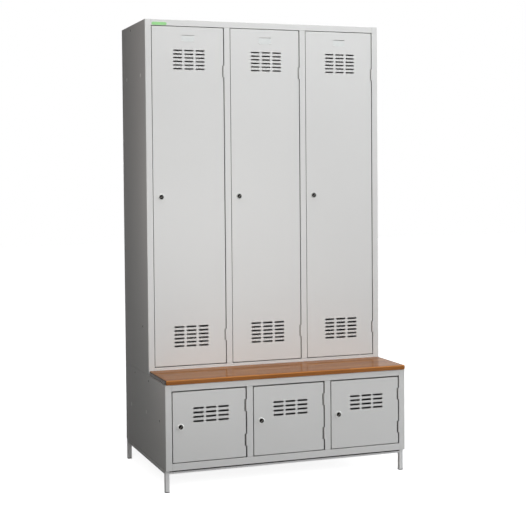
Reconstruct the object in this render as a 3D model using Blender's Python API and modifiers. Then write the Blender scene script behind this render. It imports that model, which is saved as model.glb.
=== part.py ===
# Locker with bench: three tall compartments standing on three low ones,
# a wooden seat board in front of the tall doors, and a steel tube base.
# Metres, +Z up, the front faces -Y. The origin is on the floor, at the
# centre of the outline seen from above.

import math

import bmesh
import bpy
from mathutils import Matrix, Vector

for old in list(bpy.data.objects):
    bpy.data.objects.remove(old, do_unlink=True)

# Overall sizes
overall_width = 1.200
overall_height = 2.180
lower_depth = 0.763
upper_depth = 0.470
lower_height = 0.392
floor_gap = 0.103
columns = 3

# Sheet and fits
sheet = 0.001
fit_gap = 0.0003
door_gap = 0.0018
cut_margin = 0.002

# Fixed frame round the doors
stile_width = 0.0315
mullion_width = 0.033
mullion_lip = 0.008
frame_return = 0.017
back_fold = 0.020
upper_top_rail = 0.0305
upper_bottom_rail = 0.0374
lower_top_rail = 0.031
lower_bottom_rail = 0.0347
lower_rail_lip = 0.012

# Seat board
board_overhang = 0.010
board_thickness = 0.022
board_end_inset = 0.001
board_round = 0.003

# Base frame of square tube
tube_size = 0.020
tube_wall = 0.0015
base_nest = 0.003
base_setback = 0.018
foot_thickness = 0.004
foot_plug = 0.012
foot_flare = 0.001

# Doors
door_depth = 0.018
door_corner = 0.004
slot_columns = 3
upper_vents = {"rows": 6, "length": 0.0452, "height": 0.007, "pitch_x": 0.0555, "pitch_z": 0.0174,
               "inset": 0.113, "shift": 0.004}
shoe_vents = {"rows": 6, "length": 0.0500, "height": 0.0088, "pitch_x": 0.0605, "pitch_z": 0.0184,
              "inset": 0.0945, "shift": 0.003}
lower_vents = {"rows": 4, "length": 0.0510, "height": 0.0088, "pitch_x": 0.0600, "pitch_z": 0.0200,
               "inset": 0.082, "shift": 0.006}
stiffener_width = 0.060
stiffener_wing = 0.015
stiffener_depth = 0.012
stiffener_slope = 0.004
stiffener_margin = 0.020

# Hinges, turning about the gap line on the right of each door
knuckle_radius = 0.0045
knuckle_length = 0.055
knuckle_split = 0.0006
knuckle_swing_gap = 0.0018
pin_radius = 0.0025
pin_clearance = 0.0004
leaf_width = 0.025
leaf_thickness = 0.002
upper_hinge_drop = 0.208
upper_hinge_rise = 0.139
lower_hinge_drop = 0.085
lower_hinge_rise = 0.080

# Turning latches
lock_inset = 0.039
rosette_radius = 0.015
rosette_thickness = 0.0018
barrel_radius = 0.009
barrel_length = 0.015
nut_radius = 0.013
nut_thickness = 0.003
shaft_radius = 0.005
shaft_clearance = 0.0005
shaft_overrun = 0.0025
knob_radius = 0.0105
knob_base = 0.004
grip_width = 0.006
grip_height = 0.003
cam_reach = 0.046
cam_width = 0.014
cam_thickness = 0.0025
cam_clearance = 0.001
latch_tilts = {"upper_left": 20, "upper_middle": 45, "upper_right": 45,
               "lower_left": 45, "lower_middle": 45, "lower_right": 45}

# Card holders on the tall doors
card_width = 0.072
card_height = 0.035
card_drop = 0.037
card_sheet = 0.0006
card_slot = 0.0012
card_lip = 0.002
lug_offset = 0.0285
lug_width = 0.007
lug_height = 0.004

# Fittings inside the tall compartments
shelf_drop = 0.256
shelf_setback = 0.028
shelf_fold = 0.020
shelf_lip = 0.010
rail_radius = 0.008
rail_drop = 0.055
rail_flange_radius = 0.015
rail_flange_thickness = 0.002

# Places that follow from the sizes
overall_depth = lower_depth + board_overhang
half_width = overall_width / 2
back_y = overall_depth / 2
lower_front = back_y - lower_depth
upper_front = back_y - upper_depth
lower_top = floor_gap + lower_height
upper_base = lower_top + fit_gap
inner_back = back_y - sheet - fit_gap
opening_width = (overall_width - 2 * stile_width - (columns - 1) * mullion_width) / columns
stile_edge = stile_width - door_gap
rail_half = half_width - stile_edge - fit_gap
base_top = floor_gap + base_nest
lower_floor = base_top + fit_gap + sheet
board_base = lower_top + fit_gap
board_back = upper_front - fit_gap
lock_hole_radius = barrel_radius + shaft_clearance
cam_front = door_depth + cam_clearance
shelf_top = overall_height - shelf_drop

column_names = ("left", "middle", "right")
upper = {"name": "upper", "front": upper_front, "base": upper_base, "top": overall_height,
         "side_base": upper_base + sheet + fit_gap, "floor": upper_base + sheet,
         "sill": upper_base + upper_bottom_rail, "head": overall_height - upper_top_rail,
         "hinge_rise": upper_hinge_rise, "hinge_drop": upper_hinge_drop}
lower = {"name": "lower", "front": lower_front, "base": floor_gap, "top": lower_top,
         "side_base": floor_gap, "floor": lower_floor,
         "sill": floor_gap + lower_bottom_rail, "head": lower_top - lower_top_rail,
         "hinge_rise": lower_hinge_rise, "hinge_drop": lower_hinge_drop}

part_collection = bpy.data.collections.new("locker_with_bench")
cutter_collection = bpy.data.collections.new("cutters")
bpy.context.scene.collection.children.link(part_collection)
bpy.context.scene.collection.children.link(cutter_collection)

# Colour, roughness and metallic value of each finish
finishes = {
    "light_paint": ((0.66, 0.66, 0.65), 0.45, 0.0),
    "inner_paint": ((0.62, 0.62, 0.61), 0.50, 0.0),
    "oak": ((0.45, 0.25, 0.12), 0.40, 0.0),
    "black_plastic": ((0.018, 0.017, 0.016), 0.35, 0.0),
    "dark_plastic": ((0.05, 0.05, 0.05), 0.55, 0.0),
    "zinc": ((0.55, 0.55, 0.54), 0.35, 1.0),
}


# Gap line on the right of a column's door, where its hinges turn
def hinge_x(column):
    return -half_width + stile_width + opening_width + column * (opening_width + mullion_width)


def mullion_x(column):
    return hinge_x(column) + mullion_width / 2


# Inner faces of a column's left and right walls
def column_walls(column):
    left = -half_width + sheet if column == 0 else mullion_x(column - 1) + sheet / 2
    right = half_width - sheet if column == columns - 1 else mullion_x(column) - sheet / 2
    return left, right


def hinge_heights(cabinet):
    return cabinet["sill"] + cabinet["hinge_rise"], cabinet["head"] - cabinet["hinge_drop"]


def make_material(name, finish):
    colour, roughness, metallic = finishes[finish]
    material = bpy.data.materials.new(name)
    material.use_nodes = True
    shader = material.node_tree.nodes["Principled BSDF"]
    shader.inputs["Base Color"].default_value = (*colour, 1)
    shader.inputs["Roughness"].default_value = roughness
    shader.inputs["Metallic"].default_value = metallic
    material.diffuse_color = (*colour, 1)
    return material


def mesh_from(bm, name):
    mesh = bpy.data.meshes.new(name)
    bm.to_mesh(mesh)
    bm.free()
    return mesh


# Object of the part, with a material of its own
def add_piece(name, mesh, finish, parent=None, location=(0, 0, 0), turn=0):
    piece = bpy.data.objects.new(name, mesh)
    part_collection.objects.link(piece)
    piece.parent = parent
    piece.location = location
    piece.rotation_euler = (0, 0, turn)
    if not mesh.materials:
        mesh.materials.append(None)
    piece.material_slots[0].link = "OBJECT"
    piece.material_slots[0].material = make_material(name, finish)
    return piece


def add_cutter(name, bm):
    cutter = bpy.data.objects.new(name, mesh_from(bm, name))
    cutter_collection.objects.link(cutter)
    cutter.hide_render = True
    cutter.display_type = "WIRE"
    return cutter


def add_boolean(piece, tool, operation="DIFFERENCE"):
    modifier = piece.modifiers.new(operation.title(), "BOOLEAN")
    modifier.operation = operation
    modifier.solver = "EXACT"
    modifier.object = tool


def add_solidify(piece, thickness):
    modifier = piece.modifiers.new("Sheet", "SOLIDIFY")
    modifier.thickness = thickness
    modifier.offset = -1
    modifier.use_even_offset = True


# Finished mesh of a piece whose copies share it; the piece and its tools go
def finished_mesh(piece, tools=()):
    bpy.context.view_layer.update()
    graph = bpy.context.evaluated_depsgraph_get()
    mesh = bpy.data.meshes.new_from_object(piece.evaluated_get(graph))
    mesh.materials.clear()
    for spent in (piece, *tools):
        bpy.data.objects.remove(spent, do_unlink=True)
    return mesh


def round_shading(mesh):
    mesh.shade_smooth()
    mesh.set_sharp_from_angle(angle=math.radians(35))


def box(bm, low, high):
    low, high = Vector(low), Vector(high)
    scale = Matrix.Diagonal((*(high - low), 1))
    bmesh.ops.create_cube(bm, size=1, matrix=Matrix.Translation((low + high) / 2) @ scale)


def rod(bm, centre, radius, length, direction, sides):
    turn = Vector((0, 0, 1)).rotation_difference(Vector(direction)).to_matrix().to_4x4()
    bmesh.ops.create_cone(bm, cap_ends=True, segments=sides, radius1=radius, radius2=radius,
                          depth=length, matrix=Matrix.Translation(centre) @ turn)


# Long hole or plate with round ends, its long way along X, its thickness along Y
def long_round(bm, centre, length, height, thickness, sides):
    flat_radius = height / 2 / math.cos(math.pi / sides)
    quarter = Matrix.Rotation(math.pi / 2, 4, "X") @ Matrix.Rotation(math.pi / sides, 4, "Z")
    made = bmesh.ops.create_cone(bm, cap_ends=True, segments=sides, radius1=flat_radius,
                                 radius2=flat_radius, depth=thickness, matrix=quarter)
    stretch = (length - height) / 2
    for vert in made["verts"]:
        vert.co.x += math.copysign(stretch, vert.co.x)
    bmesh.ops.translate(bm, verts=made["verts"], vec=centre)


# Open surface swept from an outline; its outer face lies right of the walk for
# plan outlines swept up, and the sheet's thickness goes to the other side
def swept_sheet(name, outline, run):
    run = Vector(run)
    bm = bmesh.new()
    corners = [bm.verts.new(point) for point in outline]
    for start, end in zip(corners, corners[1:]):
        bm.edges.new((start, end))
    swept = bmesh.ops.extrude_edge_only(bm, edges=bm.edges[:])
    moved = [item for item in swept["geom"] if isinstance(item, bmesh.types.BMVert)]
    bmesh.ops.translate(bm, verts=moved, vec=run)
    bm.normal_update()
    outward = (Vector(outline[1]) - Vector(outline[0])).cross(run)
    near = min(bm.faces, key=lambda face: min((vert.co - Vector(outline[0])).length
                                              for vert in face.verts))
    if near.normal.dot(outward) < 0:
        bmesh.ops.reverse_faces(bm, faces=bm.faces[:])
    return mesh_from(bm, name)


# Folded sheet standing upright, from a plan outline
def upright_fold(name, plan, bottom, top, finish):
    outline = [(x, y, bottom) for x, y in plan]
    piece = add_piece(name, swept_sheet(name, outline, (0, 0, top - bottom)), finish)
    add_solidify(piece, sheet)
    return piece


# Folded sheet lying across the cabinet, from an outline seen from the side
def level_fold(name, section, left, right, finish, thickness=sheet):
    outline = [(left, y, z) for y, z in section]
    piece = add_piece(name, swept_sheet(name, outline, (right - left, 0, 0)), finish)
    add_solidify(piece, thickness)
    return piece


# Turned shape: a closed or axis-to-axis outline of radius and height pairs,
# down its outer side, swept once round Z
def turned_piece(name, profile, sides, finish):
    mesh = bpy.data.meshes.new(name)
    count = len(profile)
    closed = all(radius > 0 for radius, height in profile)
    edges = [(point, (point + 1) % count) for point in range(count if closed else count - 1)]
    mesh.from_pydata([(radius, 0, height) for radius, height in profile], edges, [])
    piece = add_piece(name, mesh, finish)
    modifier = piece.modifiers.new("Turn", "SCREW")
    modifier.axis = "Z"
    modifier.steps = sides
    modifier.render_steps = sides
    modifier.use_merge_vertices = True
    modifier.merge_threshold = 0.0001
    return piece


# Notch box round a hinge, on the door's side or the frame's side of the gap line
def hinge_notch(bm, x, front, height, reach, side):
    ends = sorted((x, x + side * reach))
    half = knuckle_length / 2 + knuckle_split
    box(bm, (ends[0], front - cut_margin, height - half), (ends[1], front + reach, height + half))


# Hinge barrels with their pins and leaves, welded to a frame sheet at a gap line
def add_frame_hinges(piece, name, x, front, heights):
    leaves, barrels, pins = bmesh.new(), bmesh.new(), bmesh.new()
    low, split = -knuckle_length / 2, -knuckle_split / 2
    for height in heights:
        box(leaves, (x, front + sheet / 2, height + low),
            (x + leaf_width, front + sheet + leaf_thickness, height + split))
        rod(barrels, (x, front, height + (low + split) / 2), knuckle_radius, split - low,
            (0, 0, 1), 12)
        rod(pins, (x, front, height), pin_radius, knuckle_length - sheet * 2, (0, 0, 1), 12)
    tools = [add_cutter(name + "_leaves", leaves), add_cutter(name + "_barrels", barrels),
             add_cutter(name + "_pins", pins)]
    for tool in tools:
        add_boolean(piece, tool, "UNION")
    return tools


# Side panel: back fold, side, front stile and the fold behind the stile
def make_side(cabinet, name, side):
    outer = side * half_width
    inner = side * (half_width - stile_edge)
    front = cabinet["front"]
    plan = [(outer - side * back_fold, back_y), (outer, back_y), (outer, front),
            (inner, front), (inner, front + frame_return)]
    if side > 0:
        plan.reverse()
    panel = upright_fold(name, plan, cabinet["side_base"],
                         cabinet["top"] - sheet - fit_gap, "light_paint")
    if side > 0:
        bm = bmesh.new()
        for height in hinge_heights(cabinet):
            hinge_notch(bm, hinge_x(columns - 1), front, height, knuckle_radius + fit_gap, 1)
        add_boolean(panel, add_cutter(name + "_hinge_notches", bm))
        add_frame_hinges(panel, name, hinge_x(columns - 1), front, hinge_heights(cabinet))
    if cabinet is lower:
        bm = bmesh.new()
        reach = sorted((inner - side * cut_margin, inner + side * (sheet + cut_margin)))
        box(bm, (reach[0], front + sheet + fit_gap, floor_gap - cut_margin),
            (reach[1], front + frame_return + cut_margin, base_top + fit_gap))
        add_boolean(panel, add_cutter(name + "_base_notch", bm))


# Clears the front rail of a top or bottom sheet where the stiles stand
def rail_end_cutter(name, front, bottom, top):
    bm = bmesh.new()
    for side in (-1, 1):
        ends = sorted((side * rail_half, side * (half_width + cut_margin)))
        box(bm, (ends[0], front - cut_margin, bottom),
            (ends[1], front + frame_return + fit_gap, top))
    return add_cutter(name, bm)


def make_top(cabinet, name):
    front, top, head = cabinet["front"], cabinet["top"], cabinet["head"] + door_gap
    section = [(back_y, top), (front, top), (front, head), (front + frame_return, head)]
    piece = level_fold(name, section, -half_width, half_width, "light_paint")
    add_boolean(piece, rail_end_cutter(name + "_rail_ends", front, head - cut_margin, top - sheet))


def make_upper_bottom():
    front, base, sill = upper["front"], upper["base"], upper["sill"] - door_gap
    section = [(front + frame_return, sill), (front, sill), (front, base), (back_y, base)]
    piece = level_fold("upper_bottom", section, -half_width, half_width, "light_paint")
    add_boolean(piece, rail_end_cutter("upper_bottom_rail_ends", front, base + sheet,
                                       sill + cut_margin))


# The lower floor is raised inside the bottom edge, so the tube base nests under it
def make_lower_bottom():
    front, base, sill = lower["front"], lower["base"], lower["sill"] - door_gap
    step = front + lower_rail_lip
    floor_under = base_top + fit_gap
    inside = half_width - sheet - fit_gap
    section = [(front + frame_return, sill), (front, sill), (front, base), (step, base),
               (step, floor_under), (inner_back, floor_under)]
    piece = level_fold("lower_bottom", section, -inside, inside, "light_paint")
    add_boolean(piece, rail_end_cutter("lower_bottom_rail_ends", front, base - cut_margin,
                                       sill + cut_margin))


def make_back(cabinet, name):
    inside = half_width - sheet - fit_gap
    bm = bmesh.new()
    box(bm, (-inside, inner_back - sheet, cabinet["floor"] + fit_gap),
        (inside, inner_back, cabinet["top"] - sheet - fit_gap))
    add_piece(name, mesh_from(bm, name), "light_paint")


# Front posts between the doors, as lipped channels that carry the hinges
def make_posts(cabinet):
    half = mullion_width / 2 - door_gap
    front = cabinet["front"]
    plan = [(mullion_lip - half, frame_return), (-half, frame_return), (-half, 0),
            (half, 0), (half, frame_return), (half - mullion_lip, frame_return)]
    hinge_line = -mullion_width / 2
    post = upright_fold("post", plan, cabinet["sill"] - door_gap + fit_gap,
                        cabinet["head"] + door_gap - fit_gap, "light_paint")
    bm = bmesh.new()
    for height in hinge_heights(cabinet):
        hinge_notch(bm, hinge_line, 0, height, knuckle_radius + fit_gap, 1)
    notches = add_cutter("post_notches", bm)
    add_boolean(post, notches)
    tools = add_frame_hinges(post, "post", hinge_line, 0, hinge_heights(cabinet))
    mesh = finished_mesh(post, (notches, *tools))
    for column in range(columns - 1):
        add_piece(f"{cabinet['name']}_post_{column + 1}", mesh, "light_paint",
                  location=(mullion_x(column), front, 0))


def make_partitions(cabinet):
    for column in range(columns - 1):
        x = mullion_x(column)
        bm = bmesh.new()
        box(bm, (x - sheet / 2, cabinet["front"] + frame_return + fit_gap,
                 cabinet["floor"] + fit_gap),
            (x + sheet / 2, inner_back - sheet - fit_gap, cabinet["top"] - sheet - fit_gap))
        name = f"{cabinet['name']}_partition_{column + 1}"
        add_piece(name, mesh_from(bm, name), "inner_paint")


# Hat shelf of each tall compartment, folded down at the front
def make_shelves():
    front = upper_front + shelf_setback
    section = [(inner_back - sheet - fit_gap, shelf_top), (front, shelf_top),
               (front, shelf_top - shelf_fold), (front + shelf_lip, shelf_top - shelf_fold)]
    for column in range(columns):
        left, right = column_walls(column)
        level_fold("hat_shelf_" + column_names[column], section, left + fit_gap,
                   right - fit_gap, "inner_paint")


# Clothes rails with a flange at each wall
def make_clothes_rails():
    for column in range(columns):
        left, right = column_walls(column)
        half = (right - left) / 2 - fit_gap
        collar = half - rail_flange_thickness
        profile = [(0, half), (rail_flange_radius, half), (rail_flange_radius, collar),
                   (rail_radius, collar), (rail_radius, -collar), (rail_flange_radius, -collar),
                   (rail_flange_radius, -half), (0, -half)]
        rail = turned_piece("clothes_rail_" + column_names[column], profile, 12, "zinc")
        rail.location = ((left + right) / 2, (upper_front + back_y) / 2,
                         shelf_top - sheet - rail_drop)
        rail.rotation_euler = (0, math.pi / 2, 0)


def make_board():
    half = half_width - board_end_inset
    bm = bmesh.new()
    box(bm, (-half, lower_front - board_overhang, board_base),
        (half, board_back, board_base + board_thickness))
    board = add_piece("bench_board", mesh_from(bm, "bench_board"), "oak")
    edges = board.modifiers.new("Rounded edges", "BEVEL")
    edges.width = board_round
    edges.segments = 2


# Welded base of square tube: four corner legs with the rails between them,
# hollow all through and open where the foot caps plug in
def make_base():
    outer_x = half_width - sheet - fit_gap
    inner_x = outer_x - tube_size
    front, back = lower_front + base_setback, inner_back
    leg_base, rail_base = foot_thickness + fit_gap, base_top - tube_size
    corners = [(x, y) for x in (-outer_x, inner_x) for y in (front, back - tube_size)]
    legs, leg_bores = bmesh.new(), bmesh.new()
    for x, y in corners:
        box(legs, (x, y, leg_base), (x + tube_size, y + tube_size, base_top))
        box(leg_bores, (x + tube_wall, y + tube_wall, leg_base - cut_margin),
            (x + tube_size - tube_wall, y + tube_size - tube_wall, base_top - tube_wall))
    along, along_bores = bmesh.new(), bmesh.new()
    for y in (front, back - tube_size):
        box(along, (-inner_x - tube_wall, y, rail_base), (inner_x + tube_wall, y + tube_size, base_top))
        reach = inner_x + tube_size / 2
        box(along_bores, (-reach, y + tube_wall, rail_base + tube_wall),
            (reach, y + tube_size - tube_wall, base_top - tube_wall))
    across, across_bores = bmesh.new(), bmesh.new()
    for x in (-outer_x, inner_x):
        box(across, (x, front + tube_size - tube_wall, rail_base),
            (x + tube_size, back - tube_size + tube_wall, base_top))
        box(across_bores, (x + tube_wall, front + tube_size / 2, rail_base + tube_wall),
            (x + tube_size - tube_wall, back - tube_size / 2, base_top - tube_wall))
    frame = add_piece("base_frame", mesh_from(legs, "base_frame"), "light_paint")
    add_boolean(frame, add_cutter("base_rails_along", along), "UNION")
    add_boolean(frame, add_cutter("base_rails_across", across), "UNION")
    add_boolean(frame, add_cutter("base_leg_bores", leg_bores))
    add_boolean(frame, add_cutter("base_bores_along", along_bores))
    add_boolean(frame, add_cutter("base_bores_across", across_bores))

    cap, plug = bmesh.new(), bmesh.new()
    plug_edge = tube_wall + fit_gap
    box(cap, (-foot_flare, -foot_flare, 0),
        (tube_size + foot_flare, tube_size + foot_flare, foot_thickness))
    box(plug, (plug_edge, plug_edge, foot_thickness / 2),
        (tube_size - plug_edge, tube_size - plug_edge, foot_thickness + foot_plug))
    cap_piece = add_piece("foot_cap", mesh_from(cap, "foot_cap"), "dark_plastic")
    plug_tool = add_cutter("foot_plug", plug)
    add_boolean(cap_piece, plug_tool, "UNION")
    cap_mesh = finished_mesh(cap_piece, (plug_tool,))
    places = ("front_left", "back_left", "front_right", "back_right")
    for place, (x, y) in zip(places, corners):
        add_piece("foot_cap_" + place, cap_mesh, "dark_plastic", location=(x, y, 0))


# Vent slots of one pattern, counted from the door's top edge or its bottom edge
def vent_slots(bm, vents, start, step):
    for row in range(vents["rows"]):
        z = start + step * row * vents["pitch_z"]
        for place in range(slot_columns):
            x = vents["shift"] - opening_width / 2 + (place - (slot_columns - 1) / 2) * vents["pitch_x"]
            long_round(bm, (x, sheet / 2, z), vents["length"], vents["height"],
                       sheet + cut_margin * 2, 8)


# Door pan: flat skin with its four edges folded back, about its hinge axis
def door_mesh(cabinet):
    height = cabinet["head"] - cabinet["sill"]
    bm = bmesh.new()
    box(bm, (door_gap - opening_width, 0, door_gap), (-door_gap, door_depth, height - door_gap))
    bmesh.ops.delete(bm, geom=[face for face in bm.faces if face.normal.y > 0.5],
                     context="FACES_ONLY")
    folds = [edge for edge in bm.edges
             if abs(edge.verts[0].co.y - edge.verts[1].co.y) > door_depth / 2]
    bmesh.ops.bevel(bm, geom=folds, offset=door_corner, segments=2, profile=0.5, affect="EDGES")
    pan = add_piece("door_pan", mesh_from(bm, "door_pan"), "light_paint")
    add_solidify(pan, sheet)
    slots = bmesh.new()
    if cabinet is upper:
        vent_slots(slots, upper_vents, height - upper_vents["inset"], -1)
        vent_slots(slots, shoe_vents, shoe_vents["inset"], 1)
    else:
        vent_slots(slots, lower_vents, height - lower_vents["inset"], -1)
    notches = bmesh.new()
    for level in hinge_heights(cabinet):
        hinge_notch(notches, 0, 0, level - cabinet["sill"], knuckle_radius + knuckle_swing_gap, -1)
    hole = bmesh.new()
    rod(hole, (lock_inset - opening_width, sheet / 2, height / 2), lock_hole_radius,
        sheet + cut_margin * 2, (0, 1, 0), 12)
    tools = [add_cutter("vent_slots", slots), add_cutter("door_notches", notches),
             add_cutter("lock_hole", hole)]
    for tool in tools:
        add_boolean(pan, tool)
    leaves, barrels, bores = bmesh.new(), bmesh.new(), bmesh.new()
    split, end = knuckle_split / 2, knuckle_length / 2
    for level in hinge_heights(cabinet):
        centre = level - cabinet["sill"]
        box(leaves, (-leaf_width, sheet / 2, centre + split),
            (0, sheet + leaf_thickness, centre + end))
        rod(barrels, (0, 0, centre + (split + end) / 2), knuckle_radius, end - split, (0, 0, 1), 12)
        rod(bores, (0, 0, centre), pin_radius + pin_clearance, knuckle_length + cut_margin,
            (0, 0, 1), 12)
    joins = [add_cutter("door_leaves", leaves), add_cutter("door_barrels", barrels)]
    for tool in joins:
        add_boolean(pan, tool, "UNION")
    bore_tool = add_cutter("pin_bores", bores)
    add_boolean(pan, bore_tool)
    return finished_mesh(pan, (*tools, *joins, bore_tool))


# Latch body: rosette outside, barrel through the skin and its nut behind
def lock_body_mesh():
    bore = shaft_radius + shaft_clearance
    face = fit_gap + rosette_thickness
    nut_face = -sheet - fit_gap
    profile = [(bore, face), (rosette_radius, face), (rosette_radius, fit_gap),
               (barrel_radius, fit_gap), (barrel_radius, nut_face), (nut_radius, nut_face),
               (nut_radius, nut_face - nut_thickness), (barrel_radius, nut_face - nut_thickness),
               (barrel_radius, -barrel_length), (bore, -barrel_length)]
    mesh = finished_mesh(turned_piece("lock_body", profile, 12, "zinc"))
    round_shading(mesh)
    return mesh


# Knob with its shaft: a disc with a raised grip bar across it
def knob_mesh():
    base = fit_gap + rosette_thickness + fit_gap
    face = base + knob_base
    tail = -cam_front - cam_thickness - shaft_overrun
    profile = [(0, face), (knob_radius, face), (knob_radius, base), (shaft_radius, base),
               (shaft_radius, tail), (0, tail)]
    knob = turned_piece("knob", profile, 16, "black_plastic")
    bm = bmesh.new()
    reach = math.sqrt(knob_radius ** 2 - grip_width ** 2) - fit_gap
    box(bm, (-reach, -grip_width / 2, face - knob_base / 2),
        (reach, grip_width / 2, face + grip_height))
    bar = add_cutter("grip_bar", bm)
    add_boolean(knob, bar, "UNION")
    mesh = finished_mesh(knob, (bar,))
    round_shading(mesh)
    return mesh


# Cam on the shaft's tail, square to the grip bar
def cam_mesh():
    bm = bmesh.new()
    length = cam_reach + cam_width / 2
    long_round(bm, (length / 2 - cam_width / 2, 0, 0), length, cam_width, cam_thickness, 12)
    stand = Matrix.Rotation(math.pi / 2, 4, "Z") @ Matrix.Rotation(-math.pi / 2, 4, "X")
    depth = -cam_front - cam_thickness / 2
    bmesh.ops.transform(bm, matrix=Matrix.Translation((0, 0, depth)) @ stand, verts=bm.verts[:])
    cam = add_piece("cam", mesh_from(bm, "cam"), "zinc")
    bore = bmesh.new()
    rod(bore, (0, 0, depth), shaft_radius + shaft_clearance, cam_thickness + cut_margin * 2,
        (0, 0, 1), 12)
    tool = add_cutter("cam_bore", bore)
    add_boolean(cam, tool)
    return finished_mesh(cam, (tool,))


def stiffener_mesh(height):
    bottom = shoe_vents["inset"] + (shoe_vents["rows"] - 1) * shoe_vents["pitch_z"]
    top = height - upper_vents["inset"] - (upper_vents["rows"] - 1) * upper_vents["pitch_z"]
    back = sheet + fit_gap
    half = stiffener_width / 2
    crown = half - stiffener_slope
    ridge = back + stiffener_depth
    plan = [(-half - stiffener_wing, back), (-half, back), (-crown, ridge), (crown, ridge),
            (half, back), (half + stiffener_wing, back)]
    plan = [(x - opening_width / 2, y) for x, y in plan]
    piece = upright_fold("stiffener", plan, bottom + stiffener_margin, top - stiffener_margin,
                         "inner_paint")
    return finished_mesh(piece)


# Card holder on a tall door: a back sheet with a folded top and two lugs below
def card_holder_mesh(height):
    top = height - card_drop
    face = -fit_gap - card_sheet
    lip = face - card_slot
    middle = -opening_width / 2
    section = [(lip, top - card_lip), (lip, top), (face, top), (face, top - card_height)]
    holder = level_fold("card_holder", section, middle - card_width / 2, middle + card_width / 2,
                        "light_paint", card_sheet)
    bm = bmesh.new()
    for side in (-1, 1):
        x = middle + side * lug_offset
        box(bm, (x - lug_width / 2, lip, top - card_height + card_sheet),
            (x + lug_width / 2, face + card_sheet / 2, top - card_height + lug_height))
    lugs = add_cutter("card_lugs", bm)
    add_boolean(holder, lugs, "UNION")
    return finished_mesh(holder, (lugs,))


def axis_empty(name, location, parent=None, tip=0):
    empty = bpy.data.objects.new(name, None)
    part_collection.objects.link(empty)
    empty.location = location
    empty.rotation_euler = (tip, 0, 0)
    empty.parent = parent
    return empty


# A door with its hinge halves and latch; the knob and cam turn about the latch axis
def make_doors():
    body_mesh, knob, cam = lock_body_mesh(), knob_mesh(), cam_mesh()
    for cabinet in (upper, lower):
        height = cabinet["head"] - cabinet["sill"]
        pan = door_mesh(cabinet)
        for column in range(columns):
            name = cabinet["name"] + "_" + column_names[column]
            axis = axis_empty(name + "_hinge_axis", (hinge_x(column), cabinet["front"],
                                                     cabinet["sill"]))
            add_piece(name + "_door", pan, "light_paint", axis)
            latch = axis_empty(name + "_latch_axis",
                               (lock_inset - opening_width, 0, height / 2), axis, math.pi / 2)
            tilt = math.radians(latch_tilts[name])
            add_piece(name + "_latch_body", body_mesh, "zinc", latch)
            add_piece(name + "_latch_knob", knob, "black_plastic", latch, turn=tilt)
            add_piece(name + "_latch_cam", cam, "zinc", latch, turn=tilt)
            if cabinet is upper:
                add_piece(name + "_card_holder", card_holder_mesh(height), "light_paint", axis)
                add_piece(name + "_stiffener", stiffener_mesh(height), "inner_paint", axis)


for cabinet in (upper, lower):
    make_side(cabinet, cabinet["name"] + "_side_left", -1)
    make_side(cabinet, cabinet["name"] + "_side_right", 1)
    make_back(cabinet, cabinet["name"] + "_back")
    make_top(cabinet, cabinet["name"] + "_top")
    make_posts(cabinet)
    make_partitions(cabinet)
make_upper_bottom()
make_lower_bottom()
make_shelves()
make_clothes_rails()
make_board()
make_base()
make_doors()
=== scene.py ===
import math
import bpy
import bmesh
import numpy as np
from mathutils import Matrix, Vector


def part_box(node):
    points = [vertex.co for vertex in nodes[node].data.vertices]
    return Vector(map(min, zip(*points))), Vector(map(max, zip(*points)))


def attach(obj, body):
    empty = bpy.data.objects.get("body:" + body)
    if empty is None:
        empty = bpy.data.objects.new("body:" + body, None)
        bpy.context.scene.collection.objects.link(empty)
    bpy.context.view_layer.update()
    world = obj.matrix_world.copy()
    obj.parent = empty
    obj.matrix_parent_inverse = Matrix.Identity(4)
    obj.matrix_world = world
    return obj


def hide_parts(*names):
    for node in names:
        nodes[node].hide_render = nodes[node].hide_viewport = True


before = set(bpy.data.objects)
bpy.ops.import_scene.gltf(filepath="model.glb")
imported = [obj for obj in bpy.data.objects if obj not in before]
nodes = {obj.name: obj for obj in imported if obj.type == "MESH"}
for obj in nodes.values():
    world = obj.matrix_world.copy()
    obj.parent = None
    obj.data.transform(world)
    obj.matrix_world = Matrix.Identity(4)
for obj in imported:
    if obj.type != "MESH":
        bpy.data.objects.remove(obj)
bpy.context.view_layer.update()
columnNames = ["left", "middle", "right"]
quarterTurn = math.pi / 2
cutOver = 0.002  # how far a cutter runs past the sheet that it cuts


def newObject(name, data):
    item = bpy.data.objects.new(name, data)
    bpy.context.scene.collection.objects.link(item)
    return item


def toMesh(name, points, faces):
    mesh = bpy.data.meshes.new(name)
    points = np.asarray(points, dtype=np.float32)
    faces = np.asarray(faces, dtype=np.int32)
    mesh.vertices.add(len(points))
    mesh.vertices.foreach_set("co", points.ravel())
    mesh.loops.add(faces.size)
    mesh.loops.foreach_set("vertex_index", faces.ravel())
    mesh.polygons.add(len(faces))
    mesh.polygons.foreach_set("loop_start", np.arange(0, faces.size, faces.shape[1], dtype=np.int32))
    mesh.update(calc_edges=True)
    return mesh


# quads between neighbouring rings of points, each ring closed on itself
def ringFaces(rows, columns):
    r, c = np.meshgrid(np.arange(rows - 1), np.arange(columns), indexing="ij")
    after = (c + 1) % columns
    return np.stack([r * columns + c, r * columns + after, (r + 1) * columns + after,
                     (r + 1) * columns + c], axis=-1).reshape(-1, 4)


# equal rings of points, the first and the last closed by one flat face each
def ringMesh(name, rings):
    rows, n = len(rings), len(rings[0])
    faces = ringFaces(rows, n).tolist()
    faces += [list(range(n))[::-1], list(range((rows - 1) * n, rows * n))]
    mesh = bpy.data.meshes.new(name)
    mesh.from_pydata(np.vstack(rings).tolist(), [], faces)
    return mesh


# the points of a flat figure, at a level along the third axis
def placedIn(plane, flat, level):
    a, b = flat[:, 0], flat[:, 1]
    level = np.broadcast_to(level, len(flat))
    return np.column_stack({"plan": (a, b, level), "section": (level, a, b),
                            "elevation": (a, level, b)}[plane])


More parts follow.
